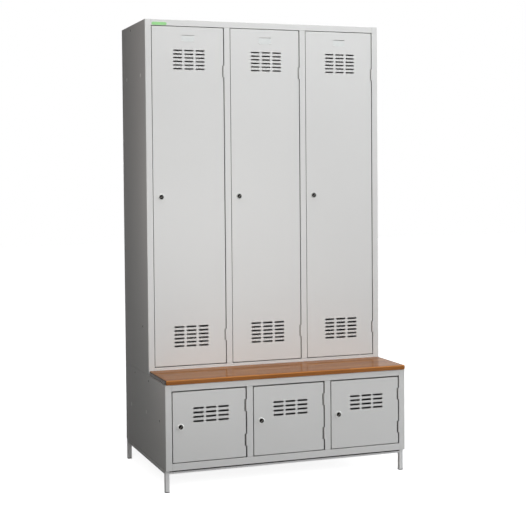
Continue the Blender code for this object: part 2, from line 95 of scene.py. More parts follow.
# upper_side_left becomes upperSideLeft
def titled(name):
    first, *rest = name.split("_")
    return first + "".join(word.title() for word in rest)


# painted shade in the door gaps: the folds round the door openings get a darker coat, on the faces that stand
# across the front, in the zone just behind the given front plane
def shadeFolds(mesh, front):
    count = len(mesh.polygons)
    normal, centre = np.empty(count * 3, dtype=np.float32), np.empty(count * 3, dtype=np.float32)
    mesh.polygons.foreach_get("normal", normal)
    mesh.polygons.foreach_get("center", centre)
    normal, centre = normal.reshape(-1, 3), centre.reshape(-1, 3)
    deep = centre[:, 1] - front
    inShadedFold = (deep > panel["foldShadeStart"]) & (deep < panel["foldShadeEnd"]) & (np.abs(normal[:, 1]) < 0.5)
    inShadedFold &= np.abs(centre[:, 0]) < halfWidth - panel["outerSkin"]
    mesh.materials.append(foldShadePaint)
    mesh.polygons.foreach_set("material_index", inShadedFold.astype(np.int32))


# a piece on its body; where it has the name of a CAD node, it takes that node's place
def addPiece(name, mesh, body, material, angle=35, shadedFoldsBehind=None):
    piece = newObject(titled(name), mesh)
    mesh.materials.clear()
    mesh.materials.append(material)
    # the folds in the door gaps take the painted-shade coat
    if shadedFoldsBehind is not None:
        shadeFolds(mesh, shadedFoldsBehind)
    mesh.shade_smooth()
    mesh.set_sharp_from_angle(angle=math.radians(angle))
    # flat faces keep their own normals, and only the bends turn
    level = piece.modifiers.new("Flat faces lead", "WEIGHTED_NORMAL")
    level.keep_sharp = True
    level.weight = 100
    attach(piece, body)
    if name in nodes:
        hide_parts(name)


def joined(name, meshes):
    bm = bmesh.new()
    for mesh in meshes:
        bm.from_mesh(mesh)
    whole = bpy.data.meshes.new(name)
    bm.to_mesh(whole)
    bm.free()
    return whole


def cleaned(mesh, distance=1e-6):
    bm = bmesh.new()
    bm.from_mesh(mesh)
    bmesh.ops.remove_doubles(bm, verts=bm.verts[:], dist=distance)
    bmesh.ops.recalc_face_normals(bm, faces=bm.faces[:])
    bm.to_mesh(mesh)
    bm.free()
    return mesh


# the mesh after cuts, with its sharp edges eased by a small bevel
def worked(name, mesh, cutters, ease, segments=2):
    body = newObject(name, mesh)
    tools = [newObject(name + "Cut", cutter) for cutter in cutters]
    for tool in tools:
        cut = body.modifiers.new("Cut", "BOOLEAN")
        cut.solver = "EXACT"
        cut.object = tool
    if ease:
        edge = body.modifiers.new("Edges", "BEVEL")
        edge.width = ease
        edge.segments = segments
        edge.limit_method = "ANGLE"
        edge.angle_limit = math.radians(50)
        edge.use_clamp_overlap = True
    bpy.context.view_layer.update()
    graph = bpy.context.evaluated_depsgraph_get()
    done = bpy.data.meshes.new_from_object(body.evaluated_get(graph))
    for item in [body] + tools:
        bpy.data.objects.remove(item, do_unlink=True)
    done.materials.clear()
    return done


def boxMesh(name, low, high):
    low, high = np.asarray(low, float), np.asarray(high, float)
    corners = np.array([[0, 0, 0], [1, 0, 0], [1, 1, 0], [0, 1, 0],
                        [0, 0, 1], [1, 0, 1], [1, 1, 1], [0, 1, 1]])
    faces = [[0, 3, 2, 1], [4, 5, 6, 7], [0, 1, 5, 4], [1, 2, 6, 5], [2, 3, 7, 6], [3, 0, 4, 7]]
    return toMesh(name, low + corners * (high - low), faces)


# an outline with each corner turned into a curve of the bend radius: a parabola
# between the two tangent points, whose middle point lies a little inside the corner
def bentPath(points, bend, steps=5):
    points = [np.asarray(p, float) for p in points]
    out = [points[0]]
    for before, corner, after in zip(points, points[1:], points[2:]):
        a, b = before - corner, after - corner
        la, lb = np.linalg.norm(a), np.linalg.norm(b)
        a, b = a / la, b / lb
        half = math.acos(max(-1.0, min(1.0, float(a @ b)))) / 2
        reach = min(bend / math.tan(half), la * 0.49, lb * 0.49)
        t = np.linspace(0, 1, steps)[:, None]
        start, end = corner + a * reach, corner + b * reach
        middle = corner + (start + end - 2 * corner) * 0.08
        out.extend((1 - t) ** 2 * start + 2 * t * (1 - t) * middle + t ** 2 * end)
    out.append(points[-1])
    return np.array(out)


# the path moved to its left by the sheet's thickness, mitred at each point
def leftOf(path, thickness):
    step = np.diff(path, axis=0)
    step /= np.linalg.norm(step, axis=1)[:, None]
    normal = np.stack([-step[:, 1], step[:, 0]], axis=1)
    before = np.vstack([normal[:1], normal])
    after = np.vstack([normal, normal[-1:]])
    mitre = before + after
    mitre /= np.linalg.norm(mitre, axis=1)[:, None]
    length = thickness / np.maximum((mitre * after).sum(axis=1), 0.3)
    return path + mitre * length[:, None]


# the strip between a path and its inner path, carried from low to high along the
# third axis: four rows of points, with both skins, both edges and both ends closed
def stripMesh(name, path, inner, low, high, plane, merge=1e-6):
    n = len(path)
    points = placedIn(plane, np.vstack([path, inner, path, inner]), np.repeat([low, low, high, high], n))
    i = np.arange(n - 1)
    faces = np.vstack([np.stack([i, i + 1, 2 * n + i + 1, 2 * n + i], axis=1),
                       np.stack([n + i + 1, n + i, 3 * n + i, 3 * n + i + 1], axis=1),
                       np.stack([i + 1, i, n + i, n + i + 1], axis=1),
                       np.stack([2 * n + i, 2 * n + i + 1, 3 * n + i + 1, 3 * n + i], axis=1),
                       [[0, 2 * n, 3 * n, n], [n - 1, 2 * n - 1, 4 * n - 1, 3 * n - 1]]])
    return cleaned(toMesh(name, points, faces), merge)


# a bent sheet: the outline is its outer face, and its thickness lies left of the walk
def bentSheet(name, outline, bend, thickness, low, high, plane, steps=5):
    path = bentPath(outline, bend, steps)
    return stripMesh(name, path, leftOf(path, thickness), low, high, plane, 1e-7)


# rounded rectangle, counter-clockwise, as points about its centre
def roundedRectangle(width, height, radius, steps=6):
    turn = np.linspace(0, quarterTurn, steps)
    arc = np.column_stack([np.cos(turn), np.sin(turn)]) * radius
    corners = []
    for quarter, (sx, sy) in enumerate([(1, 1), (-1, 1), (-1, -1), (1, -1)]):
        c, s = math.cos(quarter * quarterTurn), math.sin(quarter * quarterTurn)
        spun = arc @ np.array([[c, s], [-s, c]])
        corners.append(spun + [sx * (width / 2 - radius), sy * (height / 2 - radius)])
    return np.vstack(corners)


# turned solid: radius and height pairs swept round the axis, top to bottom
def turnedMesh(name, profile, sides, centre, axis):
    profile = np.asarray(profile, float)
    angle = np.linspace(0, 2 * math.pi, sides, endpoint=False)
    ring = np.stack([np.cos(angle), np.sin(angle)], axis=1)
    heights = np.broadcast_to(profile[:, None, 1:], (len(profile), sides, 1))
    points = np.concatenate([profile[:, None, :1] * ring[None], heights], axis=2).reshape(-1, 3)
    turn = np.array(Vector((0, 0, 1)).rotation_difference(Vector(axis)).to_matrix())
    points = points @ turn.T + np.asarray(centre, float)
    return cleaned(toMesh(name, points, ringFaces(len(profile), sides)))


# round cutter, as deep on one side of its centre as on the other
def boreMesh(radius, deep, centre, axis):
    return turnedMesh("bore", [(0, deep), (radius, deep), (radius, -deep), (0, -deep)], 24, centre, axis)


# prism with round ends: a stadium outline along X, pushed through Y
def stadiumPrism(name, centre, length, height, depth, steps=9):
    half = np.linspace(-quarterTurn, quarterTurn, steps)
    right = np.column_stack([np.cos(half), np.sin(half)]) * height / 2 + [(length - height) / 2, 0]
    front = placedIn("elevation", np.vstack([right, -right]), -depth / 2)
    return cleaned(ringMesh(name, [front + centre, front + [0, depth, 0] + centre]))


# any flat outline, counter-clockwise, pushed from low to high along the third axis
def prismMesh(name, outline, low, high, plane):
    outline = np.asarray(outline, float)
    return cleaned(ringMesh(name, [placedIn(plane, outline, low), placedIn(plane, outline, high)]))


def addNode(tree, kind, settings=None, inputs=None):
    node = tree.nodes.new(kind)
    for key, value in (settings or {}).items():
        setattr(node, key, value)
    for key, value in (inputs or {}).items():
        if isinstance(value, bpy.types.NodeSocket):
            tree.links.new(value, node.inputs[key])
        else:
            node.inputs[key].default_value = value
    return node


def mathNode(tree, operation, *values, clamp=False):
    settings = {"operation": operation, "use_clamp": clamp}
    return addNode(tree, "ShaderNodeMath", settings, dict(enumerate(values))).outputs[0]


def vectorNode(tree, operation, *values):
    return addNode(tree, "ShaderNodeVectorMath", {"operation": operation}, dict(enumerate(values))).outputs[0]


def scaledBy(tree, vector, factor):
    inputs = {0: vector, "Scale": factor}
    return addNode(tree, "ShaderNodeVectorMath", {"operation": "SCALE"}, inputs).outputs[0]


def mixColours(tree, share, first, second):
    return addNode(tree, "ShaderNodeMix", {"data_type": "RGBA"}, {0: share, 6: first, 7: second}).outputs[2]


# value, the ends it comes from and, where given, the ends it goes to
def mapped(tree, *values, curve="LINEAR"):
    settings = {"interpolation_type": curve}
    return addNode(tree, "ShaderNodeMapRange", settings, dict(enumerate(values))).outputs[0]


def noiseNode(tree, place, scale, detail, more=None):
    inputs = {"Vector": place, "Scale": scale, "Detail": detail, **(more or {})}
    return addNode(tree, "ShaderNodeTexNoise", inputs=inputs).outputs["Fac"]


def whiteNoise(tree, dimensions, inputs):
    return addNode(tree, "ShaderNodeTexWhiteNoise", {"noise_dimensions": dimensions}, inputs).outputs


def axesOf(tree, vector):
    return addNode(tree, "ShaderNodeSeparateXYZ", inputs={0: vector}).outputs


def linkAll(tree, sockets, values):
    for label, value in values.items():
        tree.links.new(value, sockets[label])


# a node group: the defaults say which inputs are colours and which are numbers, and
# every group puts out a colour, a roughness and a height
def newGroup(name, defaults):
    group = bpy.data.node_groups.new(name, "ShaderNodeTree")
    kinds = {True: "NodeSocketColor", False: "NodeSocketFloat"}
    for label, default in defaults.items():
        kind = kinds[isinstance(default, tuple)]
        group.interface.new_socket(label, in_out="INPUT", socket_type=kind).default_value = default
    for label in ("Color", "Roughness", "Height"):
        group.interface.new_socket(label, in_out="OUTPUT", socket_type=kinds[label == "Color"])
    place = addNode(group, "ShaderNodeTexCoord").outputs
    return group, group.nodes.new("NodeGroupInput").outputs, group.nodes.new("NodeGroupOutput").inputs, place


# powder coat: broad blotches tint the colour, fine noise gives orange peel and gloss,
# and a little dust lies on what faces up
def buildPaintGroup():
    group, inp, out, place = newGroup("powderCoat", {
        "Base": (0.7, 0.7, 0.7, 1), "Blotch": 0.03, "Gloss": 0.4, "Peel Scale": 260.0, "Dust": 0.1})
    broad = noiseNode(group, place["Object"], 2.6, 4.0)
    speck = noiseNode(group, place["Object"], 900.0, 2.0)
    peel = noiseNode(group, place["Object"], inp["Peel Scale"], 2.0, {"Roughness": 0.4})
    wander = mathNode(group, "SUBTRACT", broad, 0.5)
    grain = mathNode(group, "SUBTRACT", speck, 0.5)
    mixed = mathNode(group, "MULTIPLY_ADD", grain, 0.35, wander)
    level = mathNode(group, "MULTIPLY_ADD", mixed, inp["Blotch"], 1.0)
    shade = scaledBy(group, inp["Base"], level)
    up = axesOf(group, addNode(group, "ShaderNodeNewGeometry").outputs["Normal"])["Z"]
    flat = mathNode(group, "MULTIPLY", up, inp["Dust"], clamp=True)
    drift = mathNode(group, "MULTIPLY", flat, broad)
    dusty = mixColours(group, drift, shade, (0.55, 0.53, 0.50, 1))
    rough = mathNode(group, "MULTIPLY_ADD", mixed, 0.12, inp["Gloss"])
    rougher = mathNode(group, "ADD", rough, drift, clamp=True)
    linkAll(group, out, {"Color": dusty, "Roughness": rougher, "Height": peel})
    return group


# bare metal, paper and moulded plastic: cloudy patches and fine noise in colour and gloss; the painted
# highlight input makes the colour several times lighter
def buildGrainGroup():
    group, inp, out, place = newGroup("fineGrain", {
        "Base": (0.5, 0.5, 0.5, 1), "Patch Scale": 60.0, "Contrast": 0.2, "Gloss": 0.4, "Wear": 0.0})
    patch = addNode(group, "ShaderNodeTexVoronoi", inputs={"Vector": place["Object"],
                                                           "Scale": inp["Patch Scale"]})
    fine = noiseNode(group, place["Object"], 1500.0, 3.0)
    soft = noiseNode(group, place["Object"], 35.0, 3.0)
    tone = addNode(group, "ShaderNodeSeparateColor", inputs={0: patch.outputs["Color"]}).outputs[0]
    blend = mathNode(group, "MULTIPLY_ADD", soft, 0.7, tone)
    spread = mathNode(group, "SUBTRACT", blend, 0.85)
    level = mathNode(group, "MULTIPLY_ADD", spread, inp["Contrast"], 1.0)
    # painted highlight: lightens the colour where the input is set
    highlightGain = mathNode(group, "MULTIPLY_ADD", inp["Wear"], 9.0, 1.0)
    shade = scaledBy(group, inp["Base"], mathNode(group, "MULTIPLY", level, highlightGain))
    rough = mathNode(group, "MULTIPLY_ADD", fine, 0.15, inp["Gloss"])
    linkAll(group, out, {"Color": shade, "Roughness": rough, "Height": fine})
    return group


# board of glued strips: rows across Y, each cut into lengths along X, every length with its own tone and its
# own stretched grain; the top and the end faces are darkened by painted shade
def buildWoodGroup():
    group, inp, out, place = newGroup("gluedStrips", {
        "Light": (0.6, 0.3, 0.12, 1), "Dark": (0.3, 0.12, 0.04, 1), "Strip Width": 0.043,
        "Strip Length": 0.46, "Top Shade": 0.8, "End Shade": 0.5, "Gloss": 0.3})
    axes, facing = axesOf(group, place["Object"]), axesOf(group, place["Normal"])
    across = mathNode(group, "DIVIDE", axes["Y"], inp["Strip Width"])
    row = mathNode(group, "FLOOR", across)
    shift = whiteNoise(group, "1D", {"W": row})["Value"]
    along = mathNode(group, "MULTIPLY_ADD", shift, 5.0,
                     mathNode(group, "DIVIDE", axes["X"], inp["Strip Length"]))
    strip = mathNode(group, "FLOOR", along)
    cell = addNode(group, "ShaderNodeCombineXYZ", inputs={0: row, 1: strip}).outputs[0]
    tone = whiteNoise(group, "2D", {"Vector": cell})
    stretched = vectorNode(group, "MULTIPLY", place["Object"], (3.0, 70.0, 70.0))
    grainPlace = vectorNode(group, "ADD", stretched, scaledBy(group, tone["Color"], 40.0))
    grain = noiseNode(group, grainPlace, 1.0, 6.0, {"Roughness": 0.62, "Distortion": 0.9})
    porePlace = vectorNode(group, "MULTIPLY", place["Object"], (40.0, 1300.0, 1300.0))
    pores = mapped(group, noiseNode(group, porePlace, 1.0, 2.0), 0.55, 0.75)
    figure = mapped(group, grain, 0.32, 0.68)
    weight = mathNode(group, "MULTIPLY_ADD", figure, 0.5, mathNode(group, "MULTIPLY", tone["Value"], 0.55),
                      clamp=True)
    colour = mixColours(group, weight, inp["Light"], inp["Dark"])
    seamY = mathNode(group, "LESS_THAN", mathNode(group, "FRACT", across), 0.018)
    seamX = mathNode(group, "LESS_THAN", mathNode(group, "FRACT", along), 0.002)
    marks = mathNode(group, "MULTIPLY_ADD", pores, 0.30, mathNode(group, "MAXIMUM", seamY, seamX), clamp=True)
    marked = mixColours(group, mathNode(group, "MULTIPLY", marks, 0.6), colour,
                        scaledBy(group, inp["Dark"], 0.45))
    # painted shade: the end faces and the top are darkened by the way they face
    endShade = mapped(group, mathNode(group, "ABSOLUTE", facing["X"]), 0.35, 0.8, 1.0, inp["End Shade"])
    topShade = mapped(group, facing["Z"], 0.75, 0.99, 1.0, inp["Top Shade"])
    shaded = scaledBy(group, marked, mathNode(group, "MULTIPLY", endShade, topShade))
    rough = mathNode(group, "MULTIPLY_ADD", figure, 0.02, inp["Gloss"])
    height = mathNode(group, "SUBTRACT", grain, marks)
    linkAll(group, out, {"Color": shaded, "Roughness": rough, "Height": height})
    return group


paintGroup, grainGroup, woodGroup = buildPaintGroup(), buildGrainGroup(), buildWoodGroup()


def newMaterial(name):
    material = bpy.data.materials.new(name)
    material.use_nodes = True
    return material, material.node_tree, material.node_tree.nodes["Principled BSDF"].inputs


# a finish from a group: bump is the strength and depth the distance of its height,
# and plain holds the shader's own values
def finishFrom(name, group, bump, depth, values, plain=None):
    material, tree, shader = newMaterial(name)
    texture = addNode(tree, "ShaderNodeGroup", {"node_tree": group}, values).outputs
    raised = addNode(tree, "ShaderNodeBump", inputs={"Strength": bump, "Distance": depth,
                                                     "Height": texture["Height"]})
    linkAll(tree, shader, {"Base Color": texture["Color"], "Roughness": texture["Roughness"],
                           "Normal": raised.outputs["Normal"]})
    for key, value in (plain or {}).items():
        shader[key].default_value = value
    return material


satin = {"Specular IOR Level": 0.0012}
cabinetPaint = finishFrom("cabinetPaint", paintGroup, 0.05, 0.0004, {
    "Base": (0.68, 0.68, 0.675, 1), "Blotch": 0.05, "Gloss": 0.30, "Peel Scale": 260.0, "Dust": 0.05}, satin)
insidePaint = finishFrom("insidePaint", paintGroup, 0.07, 0.0004, {
    "Base": (0.60, 0.60, 0.59, 1), "Blotch": 0.07, "Gloss": 0.42, "Peel Scale": 220.0, "Dust": 0.12}, satin)
# painted shade: a darker copy of the cabinet's coat, put on the folds in the door gaps
foldShadePaint = finishFrom("foldShadePaint", paintGroup, 0.07, 0.0004, {
    "Base": (0.34, 0.34, 0.335, 1), "Blotch": 0.08, "Gloss": 0.45, "Peel Scale": 240.0, "Dust": 0.10}, satin)
# painted light: the base frame's coat is paler than the cabinet's, to make up for the shade under the
# cabinet's overhang
basePaint = finishFrom("basePaint", paintGroup, 0.06, 0.0004, {
    "Base": (0.80, 0.80, 0.80, 1), "Blotch": 0.06, "Gloss": 0.36, "Peel Scale": 300.0, "Dust": 0.10}, satin)
# painted shade: Top Shade and End Shade darken the board's top and ends
boardWood = finishFrom("boardWood", woodGroup, 0.0015, 0.0005, {
    "Light": (0.70, 0.30, 0.090, 1), "Dark": (0.40, 0.145, 0.038, 1), "Strip Width": 0.043,
    "Strip Length": 0.46, "Top Shade": 0.59, "End Shade": 0.10, "Gloss": 0.015},
    {"Specular IOR Level": 0.018})
knobBlack = finishFrom("knobBlack", grainGroup, 0.12, 0.0002, {
    "Base": (0.014, 0.013, 0.012, 1), "Patch Scale": 300.0, "Contrast": 0.3, "Gloss": 0.40},
    {"Specular IOR Level": 0.06})
latchZinc = finishFrom("latchZinc", grainGroup, 0.08, 0.0002, {
    "Base": (0.42, 0.42, 0.41, 1), "Patch Scale": 500.0, "Contrast": 0.25, "Gloss": 0.28}, {"Metallic": 1.0})
footBlack = finishFrom("footBlack", grainGroup, 0.15, 0.0003, {
    "Base": (0.10, 0.10, 0.10, 1), "Patch Scale": 200.0, "Contrast": 0.3, "Gloss": 0.50})
plateGreen = finishFrom("plateGreen", grainGroup, 0.05, 0.0002, {
    "Base": (0.30, 0.62, 0.26, 1), "Patch Scale": 150.0, "Contrast": 0.08, "Gloss": 0.35})
# painted highlight: the caps are nearly white so that they show as light specks on the shaded side
capGrey = finishFrom("capGrey", grainGroup, 0.06, 0.0002, {
    "Base": (0.93, 0.93, 0.92, 1), "Patch Scale": 120.0, "Contrast": 0.05, "Gloss": 0.30}, satin)
cardPaper = finishFrom("cardPaper", grainGroup, 0.10, 0.0002, {
    "Base": (0.655, 0.675, 0.668, 1), "Patch Scale": 90.0, "Contrast": 0.04, "Gloss": 0.55})
# painted highlight: the knob's grip is made paler where its mesh says so
gripHighlight = addNode(knobBlack.node_tree, "ShaderNodeAttribute", {"attribute_name": "grip"})
knobBlack.node_tree.links.new(gripHighlight.outputs["Fac"], knobBlack.node_tree.nodes["Group"].inputs["Wear"])
print("materials done")

# sheet panels: the sill sheets bend a little wider than the others
panel = {"sheet": 0.001, "bend": 0.0013, "sillBend": 1.15, "fold": 0.017, "backFold": 0.020,
         "doorGap": 0.0018, "fit": 0.0003, "lip": 0.008, "railLip": 0.012, "seam": 0.0010,
         "sillFall": 0.0048, "foldShadeStart": 0.003, "foldShadeEnd": 0.019, "outerSkin": 0.0005, "nestIn": 0.003,
         "ease": 0.00025}
hingeSize = {"knuckle": 0.0045, "length": 0.055, "swingGap": {"upper": 0.0042, "lower": 0.0066},
             "postGap": 0.0005, "past": 0.0005, "split": 0.0006, "pin": 0.0024, "strip": 0.0016,
             "leaf": 0.0165, "toTail": 0.0008, "rise": {"upper": 0.139, "lower": 0.080},
             "drop": {"upper": 0.208, "lower": 0.085}}
plug = {"radius": {"Plugs": 0.0060, "Caps": 0.0100}, "play": 0.0004, "sunk": 0.0002, "dome": 0.0006,
        "depth": 0.0030, "upperPlugs": [(0.612, 0.9875), (0.232, 0.131)],
        "upperCaps": [(0.205, 0.848), (0.790, 0.848)],
        "lowerPlugs": [(0.746, 0.936), (0.394, 0.934), (0.142, 0.537)],
        "lowerCaps": [(0.855, 0.500), (0.462, 0.535)]}
sideLow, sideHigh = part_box("upper_side_left")
halfWidth, stileEdge, backY = -sideLow.x, sideHigh.x - sideLow.x, sideHigh.y
frontOf = {"upper": sideLow.y, "lower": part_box("lower_side_left")[0].y}


# what each cabinet offers: its front plane, door openings and hinge places
def cabinetFacts(name):
    doorLow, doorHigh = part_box(name + "_left_door")
    sill, head = doorLow.z - panel["doorGap"], doorHigh.z + panel["doorGap"]
    gapLines = [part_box(f"{name}_{column}_door")[1].x - hingeSize["knuckle"] for column in columnNames]
    return {"name": name, "front": frontOf[name], "sill": sill, "head": head, "gapLines": gapLines,
            "opening": gapLines[0] - (doorLow.x - panel["doorGap"]),
            "hinges": [sill + hingeSize["rise"][name], head - hingeSize["drop"][name]]}


upper, lower = cabinetFacts("upper"), cabinetFacts("lower")


# boxes that clear the hinge barrels out of a sheet's edge
def hingeNotches(facts, x, side, gap):
    front, reach = facts["front"], hingeSize["knuckle"] + gap
    half = hingeSize["length"] / 2 + hingeSize["split"]
    start, end = sorted((x - side * hingeSize["past"], x + side * reach))
    return joined("notch", [boxMesh("notch", (start, front - cutOver, height - half),
                                    (end, front + reach, height + half)) for height in facts["hinges"]])


# a sheet of the cabinet that takes its node's place: bent, cut and eased
def addSheet(node, outline, low, high, plane, cuts=(), front=None, bend=panel["bend"], paint=cabinetPaint):
    mesh = bentSheet(node, outline, bend, panel["sheet"], low, high, plane)
    addPiece(node, worked(node, mesh, cuts, panel["ease"]), "cabinet", paint, shadedFoldsBehind=front)


# places of the sides' fixings, given as shares of the side's depth and height
def fixingPlaces(facts, kind, side):
    low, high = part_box(facts["name"] + "_side_left")
    return [(side * halfWidth, low.y + depth * (high.y - low.y), low.z + height * (high.z - low.z))
            for depth, height in plug[facts["name"] + kind]]


# fixings of the sides: small black plugs and larger pale caps, each a low cosine dome over a short shank,
# sunk a little in its bore; the caps' near-white colour is a painted highlight
def makeFixings():
    t = np.linspace(0, quarterTurn, 7)
    top, edge = -plug["sunk"], -plug["sunk"] - plug["dome"]
    for kind, slot, finish in (("Plugs", "knob", knobBlack), ("Caps", "foot_plastic", capGrey)):
        radius = plug["radius"][kind]
        dome = list(zip(radius * np.sin(t), edge + (top - edge) * np.cos(t)))
        dome += [(radius, -plug["depth"]), (0.0, -plug["depth"])]
        parts = [turnedMesh("plug", dome, 24, centre, (side, 0, 0)) for facts in (upper, lower)
                 for side in (-1, 1) for centre in fixingPlaces(facts, kind, side)]
        addPiece("side" + kind, joined("side" + kind, parts), "cabinet", finish, 40)


# sides: a back fold, the side, the stile and the fold into the opening; the lower
# sides nest over the base frame
def makeSides():
    for facts in (upper, lower):
        front, (low, high) = facts["front"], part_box(facts["name"] + "_side_left")
        for side, label in ((-1, "left"), (1, "right")):
            outer, inner = side * halfWidth, side * (halfWidth - stileEdge)
            outline = [(outer - side * panel["backFold"], backY), (outer, backY), (outer, front),
                       (inner, front), (inner, front + panel["fold"])]
            bores = [boreMesh(size + plug["play"], cutOver, place, (side, 0, 0))
                     for kind, size in plug["radius"].items() for place in fixingPlaces(facts, kind, side)]
            cuts = [joined("bores", bores)]
            if side > 0:
                outline.reverse()
                cuts.append(hingeNotches(facts, facts["gapLines"][2], 1, hingeSize["postGap"]))
            if facts is lower:
                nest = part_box("base_frame")[1].z + panel["fit"]
                start, end = sorted((inner - side * cutOver, inner + side * panel["nestIn"]))
                cuts.append(boxMesh("nest", (start, front + panel["bend"], low.z - cutOver),
                                    (end, front + panel["fold"] + cutOver, nest)))
            addSheet(f"{facts['name']}_side_{label}", outline, low.z, high.z, "plan", cuts, front)


# boxes that cut a rail's ends back to the stiles
def railEnds(front, low, high):
    inner = halfWidth - stileEdge - panel["fit"]
    cuts = []
    for side in (-1, 1):
        start, end = sorted((side * inner, side * (halfWidth + cutOver)))
        cuts.append(boxMesh("railEnd", (start, front - cutOver, low),
                            (end, front + panel["fold"] + panel["fit"], high)))
    return [joined("railEnds", cuts)]


# cap sheets over and under each cabinet, with the rail they fold into; the sills fall
# to the back, and the lower floor steps up on to the base frame
def makeCaps():
    short = halfWidth - panel["seam"]
    for facts, end in ((upper, halfWidth), (lower, short)):
        front, head = facts["front"], facts["head"] + panel["doorGap"]
        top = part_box(facts["name"] + "_top")[1].z
        outline = [(backY, top), (front, top), (front, head), (front + panel["fold"], head)]
        addSheet(facts["name"] + "_top", outline, -end, end, "section",
                 railEnds(front, head - cutOver, top - panel["sheet"]), front)
    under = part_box("base_frame")[1].z + panel["fit"]
    for facts in (upper, lower):
        low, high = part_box(facts["name"] + "_bottom")
        front, sill = facts["front"], facts["sill"] - panel["doorGap"]
        step = front + panel["railLip"]
        outline = [(front + panel["fold"], sill - panel["sillFall"]), (front, sill), (front, low.z)]
        if facts is upper:
            outline += [(backY, low.z)]
            start, end, cutLow = -short, short, low.z + panel["sheet"]
        else:
            outline += [(step, low.z), (step, under), (high.y, under)]
            start, end, cutLow = low.x, high.x, low.z - cutOver
        addSheet(facts["name"] + "_bottom", outline, start, end, "section",
                 railEnds(front, cutLow, sill + cutOver), front, panel["bend"] * panel["sillBend"])


# posts between the doors: a channel with lips, open to the back
def makePosts():
    for facts in (upper, lower):
        for number in (1, 2):
            node = f"{facts['name']}_post_{number}"
            low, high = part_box(node)
            line, front = facts["gapLines"][number - 1], facts["front"]
            half = (high.x - line - panel["doorGap"]) / 2
            middle, back, lip = high.x - half, front + panel["fold"], panel["lip"]
            outline = [(middle + lip - half, back), (middle - half, back), (middle - half, front),
                       (middle + half, front), (middle + half, back), (middle + half - lip, back)]
            addSheet(node, outline, low.z, high.z, "plan",
                     [hingeNotches(facts, line, 1, hingeSize["postGap"])], front)


makeSides()
makeFixings()
makeCaps()
makePosts()
print("sheet panels done")

# inside: shelves, hooks, screws; a profile's radii are shares of its head
inside = {"shelfFold": 0.020, "shelfLip": 0.010,
          "hookDrop": 0.120, "hookBack": 0.15, "hookWidth": 0.014, "hookThick": 0.0018, "hookBend": 0.006,
          "hookTop": 0.022, "hookFoot": 0.030, "hookOut": 0.024, "hookTip": (0.030, 0.006),
          "hookEase": 0.0003, "hookScrews": (0.012, -0.010), "screwHead": 0.0045, "boltHead": 0.0065,
          "screwDome": [(0, 0.0024), (0.5, 0.0022), (0.85, 0.0015), (1, 0.0003), (1, 0)],
          "screwShank": [(0.002, 0), (0.002, -0.014), (0.0004, -0.018), (0, -0.018)],
          "boltDome": [(0, 0.0038), (0.5, 0.0034), (0.85, 0.0022), (1, 0.0002), (1, 0), (0, 0)],
          "nut": [(0, 0.0075), (0.0029, 0.0075), (0.0030, 0.0052), (0.0055, 0.0052), (0.0062, 0.0046),
                  (0.0062, 0.0), (0, 0)],
          "screwPlaces": [-0.56, -0.34, -0.12, 0.12, 0.34, 0.56], "screwInset": 0.05,
          "boltPlaces": [-0.48, -0.08, 0.30], "boltDepths": (0.02, 0.32)}


def makeShelves():
    for column in columnNames:
        low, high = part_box("hat_shelf_" + column)
        under = high.z - inside["shelfFold"]
        outline = [(high.y, high.z), (low.y, high.z), (low.y, under), (low.y + inside["shelfLip"], under)]
        addSheet("hat_shelf_" + column, outline, low.x, high.x, "section", paint=insidePaint)


# coat hooks: a strip carried along a J, on both walls of each tall compartment
def makeHooks():
    parts = []
    t, y, half = inside["hookThick"], inside["hookBack"], inside["hookWidth"] / 2
    out, (tipOut, tipDrop) = inside["hookOut"], inside["hookTip"]
    dome = [(0, t + 0.0012), (0.002, t + 0.0011), (0.0032, t + 0.0006), (0.0036, t), (0.0036, t - 0.0004),
            (0, t - 0.0004)]
    for column in columnNames:
        low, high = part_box("hat_shelf_" + column)
        z = low.z - inside["hookDrop"]
        foot = z - inside["hookFoot"]
        for wall, side in ((low.x, 1), (high.x, -1)):
            outline = [(wall, z + inside["hookTop"]), (wall, foot), (wall + side * out, foot),
                       (wall + side * tipOut, z - tipDrop)]
            if side < 0:
                outline.reverse()
            parts.append(bentSheet("hook", outline, inside["hookBend"], t, y - half, y + half,
                                   "elevation", 8))
            for rise in inside["hookScrews"]:
                parts.append(turnedMesh("screw", dome, 12, (wall, y, z + rise), (side, 0, 0)))
    mesh = worked("coatHooks", joined("coatHooks", parts), (), inside["hookEase"])
    addPiece("coatHooks", mesh, "cabinet", latchZinc)


# screws up into the board and bolts between the cabinets: domed heads and six-sided nuts
def makeScrews():
    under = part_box("lower_top")[1].z - panel["sheet"]
    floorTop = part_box("upper_bottom")[0].z + panel["sheet"]
    boardLow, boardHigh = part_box("bench_board")
    screw = [(inside["screwHead"] * share, z) for share, z in inside["screwDome"]] + inside["screwShank"]
    bolt = [(inside["boltHead"] * share, z) for share, z in inside["boltDome"]]
    parts = [turnedMesh("screw", screw, 16, (x, y, under), (0, 0, -1)) for x in inside["screwPlaces"]
             for y in (boardLow.y + inside["screwInset"], boardHigh.y - inside["screwInset"])]
    for x in inside["boltPlaces"]:
        for y in inside["boltDepths"]:
            parts.append(turnedMesh("bolt", bolt, 20, (x, y, floorTop), (0, 0, 1)))
            parts.append(turnedMesh("nut", inside["nut"], 6, (x, y, under), (0, 0, -1)))
    addPiece("fixings", joined("fixings", parts), "cabinet", latchZinc)


makeShelves()
makeHooks()
makeScrews()
print("inside done")

